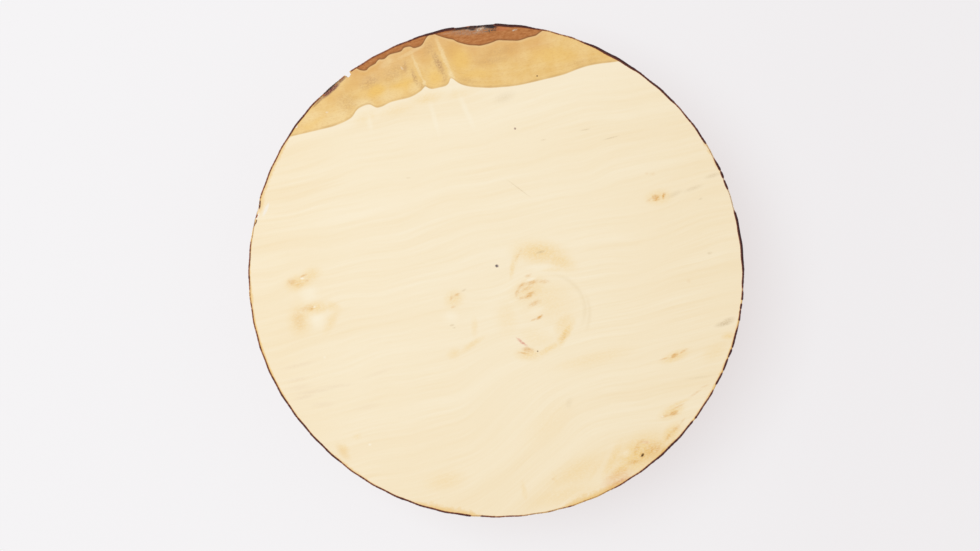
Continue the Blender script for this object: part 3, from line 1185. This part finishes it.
for hex_colour, marks in ((GOLDEN, GOLD), (WARM_TAN, TAN), (PALE_RAY, RAYS)):
    mask = strokes(marks, BAST_STROKE_SOFTNESS, frayed)
    bast = grow("Mix", {0: mask, 6: bast, 7: linear(hex_colour)}, data_type="RGBA")
speckle = grow("TexNoise", {"Vector": in_log, "Scale": 1 / SPECKLE_SIZE, "Detail": 2, "Roughness": 0.6})
speckle = grow("MapRange", {0: speckle, 1: SPECKLE_FROM, 2: SPECKLE_TO, 3: LEAST_SPECKLE, 4: 1.0})
flecks = grow("Math", {0: strokes(FLECKS, 1.0, frayed), 1: speckle}, operation="MULTIPLY")
bast_grain = grains(BAST_GRAIN, detail=3, roughness=0.65)
bast_grain = grow("MapRange", {0: bast_grain, 1: BAST_GRAIN_FROM, 2: BAST_GRAIN_TO, 4: BAST_GRAIN_SHARE})
for mask, hex_colour in ((flecks, FLECK_BROWN), (bast_grain, GRAIN_TAN)):
    bast = grow("Mix", {0: mask, 6: bast, 7: linear(hex_colour)}, data_type="RGBA")
print("the bast brings it to", len(lime_tree.nodes), "nodes")

# %% The cambium and the pale wood beside it
PALE_BAND = "f8ebd0"
PALE_BAND_WIDTH, PALE_BAND_SHARE = 9, 0.38
CAMBIUM = "cda76e"
CAMBIUM_MIDDLE, CAMBIUM_REACH = 0.55, 0.9
# It gets clearer between two values of the bast's clouds.
CAMBIUM_FAINTEST, CAMBIUM_CLEAREST = 0.3, 0.8
FAINTEST_AT, CLEAREST_AT = 0.35, 0.65

beside = grow("MapRange", {0: into_bast, 1: -PALE_BAND_WIDTH, 2: 0.0, 4: PALE_BAND_SHARE}, **SMOOTH)
off_cambium = grow("Math", {0: into_bast, 1: CAMBIUM_MIDDLE}, operation="SUBTRACT")
off_cambium = grow("Math", {0: off_cambium}, operation="ABSOLUTE")
clear_ends = {1: FAINTEST_AT, 2: CLEAREST_AT, 3: CAMBIUM_FAINTEST, 4: CAMBIUM_CLEAREST}
clearness = grow("MapRange", {0: bast_clouds, **clear_ends})
cambium_mask = grow("MapRange", {0: off_cambium, 1: CAMBIUM_REACH, 2: 0.0, 4: clearness})
for mask, over in ((beside, linear(PALE_BAND)), (bast_mask, bast), (cambium_mask, linear(CAMBIUM))):
    colour = grow("Mix", {0: mask, 6: colour, 7: over}, data_type="RGBA")
print("the cambium lies", CAMBIUM_MIDDLE, "mm into the bast")

# %% The outer bark
BARK_RUST, BARK_LIGHT, BARK_DARK = "ae6b36", "ca8c56", "80502c"
BARK_GRAIN = (3, 1.1, 3)
# Streaks are light above one value of the noise and dark below it. The bark's border is darker too,
# and a thin pale line runs below it. Places and widths are in mm.
STREAK_MIDDLE, STREAK_LIGHTEST, STREAK_DARKEST = 0.42, 0.72, 0.28
DARK_SHARE, EDGE_SHARE = 0.7, 0.75
EDGE_FROM, EDGE_TO = 1.2, 0.2
PALE_LINE = "f6dfae"
PALE_LINE_FROM, PALE_LINE_TO, PALE_LINE_SHARE = -1.6, -0.5, 0.18

bark_streaks = grains(BARK_GRAIN, detail=5, roughness=0.7)
bark_tone = grow("MapRange", {0: bark_streaks, 1: STREAK_MIDDLE, 2: STREAK_LIGHTEST})
dark_tone = grow("MapRange", {0: bark_streaks, 1: STREAK_MIDDLE, 2: STREAK_DARKEST, 4: DARK_SHARE})
bark_edge = grow("MapRange", {0: into_bark, 1: EDGE_FROM, 2: EDGE_TO, 4: EDGE_SHARE})
bark = linear(BARK_RUST)
for mask, hex_colour in ((bark_tone, BARK_LIGHT), (dark_tone, BARK_DARK), (bark_edge, BARK_DARK)):
    bark = grow("Mix", {0: mask, 6: bark, 7: linear(hex_colour)}, data_type="RGBA")
below_bark = grow("MapRange", {0: into_bark, 1: PALE_LINE_FROM, 2: PALE_LINE_TO, 4: PALE_LINE_SHARE})
for mask, over in ((below_bark, linear(PALE_LINE)), (bark_mask, bark)):
    colour = grow("Mix", {0: mask, 6: colour, 7: over}, data_type="RGBA")
print("the bark brings it to", len(lime_tree.nodes), "nodes")

# %% [markdown]
# Wax in the wood.
# Melted wax soaks in along the rim and turns the wood amber. The band is a millimetre or two wide,
# wider where end grain or a knot drank more. The sawn wall under the wax is amber all over.

# %% The soaked rim
# Pairs of a direction in degrees and how far in the wax soaked there, in mm.
SOAK_REACH = (
    (0, 0.7), (14, 1.2), (20, 1.2), (25, 2.8), (30, 3.0), (33, 2.0), (41, 1.8), (46, 0.7), (68, 0.7),
    (74, 1.2), (79, 0.5), (105, 0.3), (124, 0.3), (130, 0.9), (146, 0.9), (150, 1.9), (163, 2.3),
    (167, 1.0), (180, 0.8), (186, 1.4), (190, 0.8), (226, 0.8), (231, 1.6), (245, 0.9), (252, 2.4),
    (256, 3.9), (261, 4.2), (266, 1.6), (278, 1.0), (286, 1.4), (290, 3.8), (297, 3.4), (301, 1.6),
    (308, 0.9), (313, 2.4), (318, 1.0), (333, 1.1), (345, 0.8), (360, 0.7),
)
SOAK_MOST = 4.2
# The reach is uneven: it goes from one share of itself to another between two values of the noise.
THIRST_SIZE = 2.2
THIRST_FROM, THIRST_TO, LEAST_THIRST, MOST_THIRST = 0.3, 0.7, 0.6, 1.4
# The reach counts from a little inside the rim. The band is full a little further out, in mm.
SOAK_STARTS_AT, SOAK_FULL_AT, SOAK_SHARE = 0.5, 0.4, 0.9
# Cork hardly takes wax, so the bark keeps this share of its own colour.
BARK_KEEPS = 0.8
SOAKED = "e8bb5e"
SOAKED_PATCHES = {
    "low_left": (-87.0, -102.8, 6.0, 2.6, -50, 0.34),
    "front_knot_rim": (93.0, -103.5, 8.0, 2.0, 42, 0.40),
    "left_chip": (-133.4, 37.0, 6.0, 1.7, 75, 0.55),
}
from_axis = grow("VectorMath", {0: flat_place}, operation="LENGTH").outputs["Value"]
# The direction becomes a share of one whole turn, from 0 to 1.
direction = grow("Math", {0: axes.outputs["Y"], 1: axes.outputs["X"]}, operation="ARCTAN2")
for step in ("ADD", "MODULO", "DIVIDE"):
    direction = grow("Math", {0: direction, 1: 2 * math.pi}, operation=step)
reach = grow("FloatCurve", {"Value": direction})
draw_line(reach, [(degrees / 360, depth / SOAK_MOST) for degrees, depth in SOAK_REACH])
thirst = grow("TexNoise", {"Vector": flat_place, "Scale": 1 / THIRST_SIZE, "Detail": 3, "Roughness": 0.6})
thirst_ends = {1: THIRST_FROM, 2: THIRST_TO, 3: LEAST_THIRST * SOAK_MOST, 4: MOST_THIRST * SOAK_MOST}
thirst = grow("MapRange", {0: thirst, **thirst_ends})
reach = grow("Math", {0: reach, 1: thirst}, operation="MULTIPLY")
inner_edge = grow("Math", {0: RADIUS / MM - SOAK_STARTS_AT, 1: reach}, operation="SUBTRACT")
soak = grow("MapRange", {0: from_axis, 1: inner_edge, 2: RADIUS / MM - SOAK_FULL_AT, 4: SOAK_SHARE})
soak_patches = strokes(SOAKED_PATCHES, 1.0, flat_place)
soak = grow("Math", {0: soak, 1: soak_patches}, operation="MAXIMUM")
soaked_colour = grow("Mix", {0: soak, 6: colour, 7: linear(SOAKED)}, data_type="RGBA")
bark_keeps = grow("Math", {0: bark_mask, 1: BARK_KEEPS}, operation="MULTIPLY")
colour = grow("Mix", {0: bark_keeps, 6: soaked_colour, 7: colour}, data_type="RGBA")
print("wax soaked in up to", SOAK_MOST, "mm")

# %% Dirt, specks and chips on the face
GREY_DIRT = {
    "pin_tail_a": (101.0, 43.4, 5.0, 1.6, 24, 0.24),
    "pin_tail_b": (111.5, 46.6, 6.0, 1.3, 20, 0.26),
    "right_line": (122.5, 53.8, 5.0, 1.4, 16, 0.32),
    "right_line_b": (115.6, 40.6, 1.4, 0.7, 20, 0.30),
    "edge_smudge": (129.0, -30.0, 5.5, 1.6, 16, 0.60),
    "edge_smudge_b": (131.5, -28.0, 4.0, 1.5, 16, 0.42),
    "edge_line": (115.0, -60.5, 9.0, 0.8, 8, 0.16),
    "short_line_a": (65.0, 75.2, 4.5, 0.5, 14, 0.40),
    "short_line_b": (50.3, 79.8, 2.8, 0.5, 10, 0.40),
    "upper_scratch": (12.6, 46.5, 8.5, 0.4, -37, 0.35),
    "burr_dash": (25.0, 10.5, 3.0, 0.8, 15, 0.50),
    "group_fleck": (-25.2, -30.9, 1.4, 0.7, 10, 0.45),
    "group_fleck_b": (-18.5, -11.1, 1.6, 0.7, 30, 0.40),
    "group_fleck_c": (-24.0, -32.4, 1.0, 0.5, 10, 0.35),
    "right_fleck": (120.7, 9.9, 1.7, 0.9, 10, 0.32),
    "below_bast": (4.4, 98.0, 7.0, 3.2, 22, 0.19),
    "mid_right_fleck": (41.0, -75.0, 2.0, 3.5, -20, 0.16),
    "upper_fleck": (26.5, 74.0, 1.6, 0.5, 10, 0.30),
    "upper_fleck_b": (-50.0, 52.5, 1.6, 0.5, 0, 0.25),
}
CENTRE_SMUDGE = {"centre_mark": (0.2, 2.6, 1.1, 0.75, -12, 1.0)}
DARK_SPECKS = {
    "foot_speck": (23.3, -45.7, 0.45, 0.45, 0, 0.8),
    "bast_speck": (23.0, 110.2, 0.5, 0.45, 0, 0.9),
    "knot_pit": (82.8, -104.6, 1.1, 0.6, 58, 0.9),
}
WHITE_CHIPS = {
    "left_white": (-130.6, 34.5, 4.0, 0.9, 66, 0.85),
    "left_white_low": (-135.6, 30.8, 2.2, 1.0, 60, 0.9),
    "left_white_top": (-136.0, 34.5, 2.0, 0.8, 70, 0.6),
    "bast_fleck": (-96.0, 89.6, 0.8, 0.5, 0, 0.4),
    "rim_fleck": (-113.3, 81.5, 0.9, 0.6, 60, 0.8),
    "oval_middle": (-53.6, 114.6, 1.2, 0.5, -50, 0.30),
}
print("smudges, specks and chips:", len(GREY_DIRT) + len(DARK_SPECKS) + len(WHITE_CHIPS))

# %% Torn bark, and the crust of bark and lichen at the top edge
TORN_RED = {
    "red_fleck": (10.5, 80.4, 0.65, 0.65, 0, 0.8),
    "torn_bark": (-94.6, 101.6, 6.0, 1.5, 43, 1.0),
    "torn_middle": (-92.2, 103.4, 4.5, 1.3, 41, 1.0),
    "torn_tail": (-100.3, 96.2, 5.5, 0.7, 46, 0.55),
    "torn_head": (-88.3, 107.4, 4.6, 0.9, 40, 0.75),
}
CRUST_BLACK = {
    "edge_right": (-3.9, 139.0, 4.3, 1.9, 1, 1.0),
    "torn_edge": (-94.7, 103.4, 11.0, 0.75, 42.5, 1.0),
}
CRUST_RIM = {
    "rim_left": (-22.0, 137.3, 5.5, 1.3, 9.0, 1.0),
    "rim_between": (-17.6, 138.0, 4.5, 1.3, 7.2, 1.0),
    "rim_middle": (-13.5, 138.4, 8.5, 1.3, 5.6, 1.0),
    "black_blob": (-14.0, 137.6, 2.4, 1.5, 0, 0.9),
    "black_crumbs": (-3.0, 138.4, 3.6, 1.3, 1, 0.9),
}
RED_BARK = {"rust_by_the_notch": (2.5, 137.0, 5.0, 1.3, 0, 0.45)}
CRUST_SPECKLES = {
    "speckles_right": (-3.8, 136.9, 4.2, 2.2, 0, 1.0),
    "speckles_left": (-13.0, 137.3, 5.0, 1.3, 3, 0.8),
    "haze_specks": (-13.0, 135.8, 13.0, 2.2, 5, 0.30),
}
CRUST_GREY = {
    "lichen": (-9.6, 137.5, 2.7, 1.5, 3, 0.85),
    "lichen_low": (-10.2, 136.2, 1.4, 0.5, 0, 0.9),
    "green_grey": (-16.2, 136.5, 3.0, 0.8, 6, 0.45),
    "crumbs_right": (-5.0, 137.2, 2.2, 0.6, 0, 0.4),
    "cork_left": (-25.0, 134.9, 7.0, 0.6, 11, 0.25),
    "thin_right": (2.8, 138.4, 1.8, 0.35, 0, 0.6),
    "pale_fleck": (10.2, 136.2, 1.6, 0.5, 20, 0.8),
    "haze": (-14.0, 135.8, 12.0, 2.4, 6, 0.30),
}
print("strokes in the crust:", len(CRUST_BLACK) + len(CRUST_RIM) + len(CRUST_SPECKLES) + len(CRUST_GREY))

# %% Laying the marks on
# They sit on the face and fade out below it, in mm. Crumbs of bark break some of them up.
MARKS_DEPTH, MARKS_FADE = 4.5, 1.5
CRUMB_SIZE = 0.75
CRUMB_FROM, CRUMB_TO = 0.47, 0.53
# Hex colour, its strokes, how soft their edges are and how much the crumbs break them up.
MARKS = (
    ("bfa57a", GREY_DIRT, 1.0, 0.45),
    ("f3ede2", WHITE_CHIPS, 0.6, 0.3),
    ("70343a", TORN_RED, 0.7, 0.25),
    ("2b1f23", CRUST_BLACK, 0.6, 0.15),
    ("c86f4a", RED_BARK, 0.8, 0.2),
    ("33251f", CRUST_SPECKLES, 0.7, 1.0),
    ("cdc2b0", CRUST_GREY, 0.7, 0.8),
    ("2b1f23", CRUST_RIM, 0.6, 0.15),
    ("93868a", CENTRE_SMUDGE, 0.8, 0.0),
    ("6a441e", DARK_SPECKS, 0.7, 0.0),
)

top_only = grow("MapRange", {0: height, 1: TOP - MARKS_DEPTH - MARKS_FADE, 2: TOP - MARKS_DEPTH})
crumbs = grow("TexNoise", {"Vector": place, "Scale": 1 / CRUMB_SIZE, "Detail": 2, "Roughness": 0.6})
crumbs = grow("MapRange", {0: crumbs, 1: CRUMB_FROM, 2: CRUMB_TO})
for hex_colour, marks, softness, broken in MARKS:
    mask = strokes(marks, softness, flat_place)
    mask = grow("Math", {0: mask, 1: top_only}, operation="MULTIPLY")
    if broken:
        kept = grow("Math", {0: crumbs, 1: broken, 2: 1 - broken}, operation="MULTIPLY_ADD")
        mask = grow("Math", {0: mask, 1: kept}, operation="MULTIPLY")
    colour = grow("Mix", {0: mask, 6: colour, 7: linear(hex_colour)}, data_type="RGBA")
print("with its marks the wood takes", len(lime_tree.nodes), "nodes")

# %% Sheen and relief of the wood
# Planed lime shows a soft silk and no clear reflection. Cork is dull, and soaked wood shines a little.
WOOD_ROUGHNESS, BARK_ROUGHNESS, SOAKED_ROUGHNESS = 0.62, 0.85, 0.42
WOOD_GLOSS = 0.35
FIBRE_GRAIN = (9, 0.8, 3)
FIBRE_RELIEF, FIBRE_STRENGTH = 0.00003, 0.6
CORK_RELIEF, CORK_STRENGTH = 0.00025, 0.8

rough = grow("Mix", {0: bark_mask, 2: WOOD_ROUGHNESS, 3: BARK_ROUGHNESS}, data_type="FLOAT")
rough = grow("Mix", {0: soak, 2: rough, 3: SOAKED_ROUGHNESS}, data_type="FLOAT")
fibre_height = grains(FIBRE_GRAIN, detail=2)
fibre_bump = grow(
    "Bump",
    {"Strength": FIBRE_STRENGTH, "Distance": FIBRE_RELIEF, "Height": fibre_height},
)
cork_height = grow("Math", {0: bark_streaks, 1: bark_mask}, operation="MULTIPLY")
cork_bump = grow(
    "Bump",
    {"Strength": CORK_STRENGTH, "Distance": CORK_RELIEF, "Height": cork_height, "Normal": fibre_bump},
)
feed(lime_tree, lime_shader, {"Base Color": colour, "Roughness": rough, "Normal": cork_bump})
feed(lime_tree, lime_shader, {"Specular IOR Level": WOOD_GLOSS})
disc.data.materials.clear()
disc.data.materials.append(lime)
print("the finished wood takes", len(lime_tree.nodes), "nodes")

# %% [markdown]
# The wax's own finish.
# It is a soft wax, dark plum brown where it is thick and reddish amber where the wood shows through.
# The ring carries its own thickness from point to point, so the colour follows the film itself.

# %% Sealing wax
# Soft wax gives the eye broad, weak highlights, a little sharper where it lies smooth.
WAX_THIN, WAX_BROWN, WAX_PLUM = "a8643a", "5c2c23", "371816"
# How thick the film is, in mm, where one colour has turned into the next.
BROWN_AT, PLUM_FROM, PLUM_AT = 0.22, 0.18, 0.5
CLOUD_WIDTH, CLOUD_DEPTH = 6, 0.25
BUMP_SIZE, BUMP_DEPTH, BUMP_STRENGTH = 1.2, 0.00006, 0.3
# The film gets rougher between two values of its clouds.
SMOOTHEST, ROUGHEST = 0.36, 0.52
SMOOTHEST_AT, ROUGHEST_AT = 0.3, 0.7
WAX_GLOSS = 0.22

wax, wax_tree, wax_shader = new_material("dark_sealing_wax")
melt = partial(add_node, wax_tree)
film = melt("Attribute", attribute_name="wax_thickness").outputs["Fac"]
wax_at = melt("TexCoord").outputs["Object"]
wax_at = melt("VectorMath", {0: wax_at, 3: 1 / MM}, operation="SCALE")
clouds = melt("TexNoise", {"Vector": wax_at, "Scale": 1 / CLOUD_WIDTH, "Detail": 4, "Roughness": 0.6})
shift = melt("Math", {0: clouds, 1: CLOUD_DEPTH, 2: -CLOUD_DEPTH / 2}, operation="MULTIPLY_ADD")
depth = melt("Math", {0: film, 1: shift}, operation="ADD")
brown = melt("MapRange", {0: depth, 1: 0.0, 2: BROWN_AT})
plum = melt("MapRange", {0: depth, 1: PLUM_FROM, 2: PLUM_AT})
wax_colour = linear(WAX_THIN)
for mask, hex_colour in ((brown, WAX_BROWN), (plum, WAX_PLUM)):
    wax_colour = melt("Mix", {0: mask, 6: wax_colour, 7: linear(hex_colour)}, data_type="RGBA")
bumps = melt("TexNoise", {"Vector": wax_at, "Scale": 1 / BUMP_SIZE, "Detail": 3})
wax_bump = melt("Bump", {"Strength": BUMP_STRENGTH, "Distance": BUMP_DEPTH, "Height": bumps})
rough_ends = {1: SMOOTHEST_AT, 2: ROUGHEST_AT, 3: SMOOTHEST, 4: ROUGHEST}
wax_rough = melt("MapRange", {0: clouds, **rough_ends})
feed(wax_tree, wax_shader, {"Base Color": wax_colour, "Roughness": wax_rough, "Normal": wax_bump})
feed(wax_tree, wax_shader, {"Specular IOR Level": WAX_GLOSS})
wax_piece.data.materials.append(wax)
print("the wax takes", len(wax_tree.nodes), "nodes")

# %% [markdown]
# Handing the pieces over.
# The disc stands for the measured solid, and the wax rides with it.

# %% Pieces, sizes and the end
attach(disc, "root")
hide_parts("bowl_blank")
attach(wax_piece, "root")

for piece in (disc, wax_piece):
    piece.data.calc_loop_triangles()
    print(piece.name, len(piece.data.loop_triangles), "triangles")
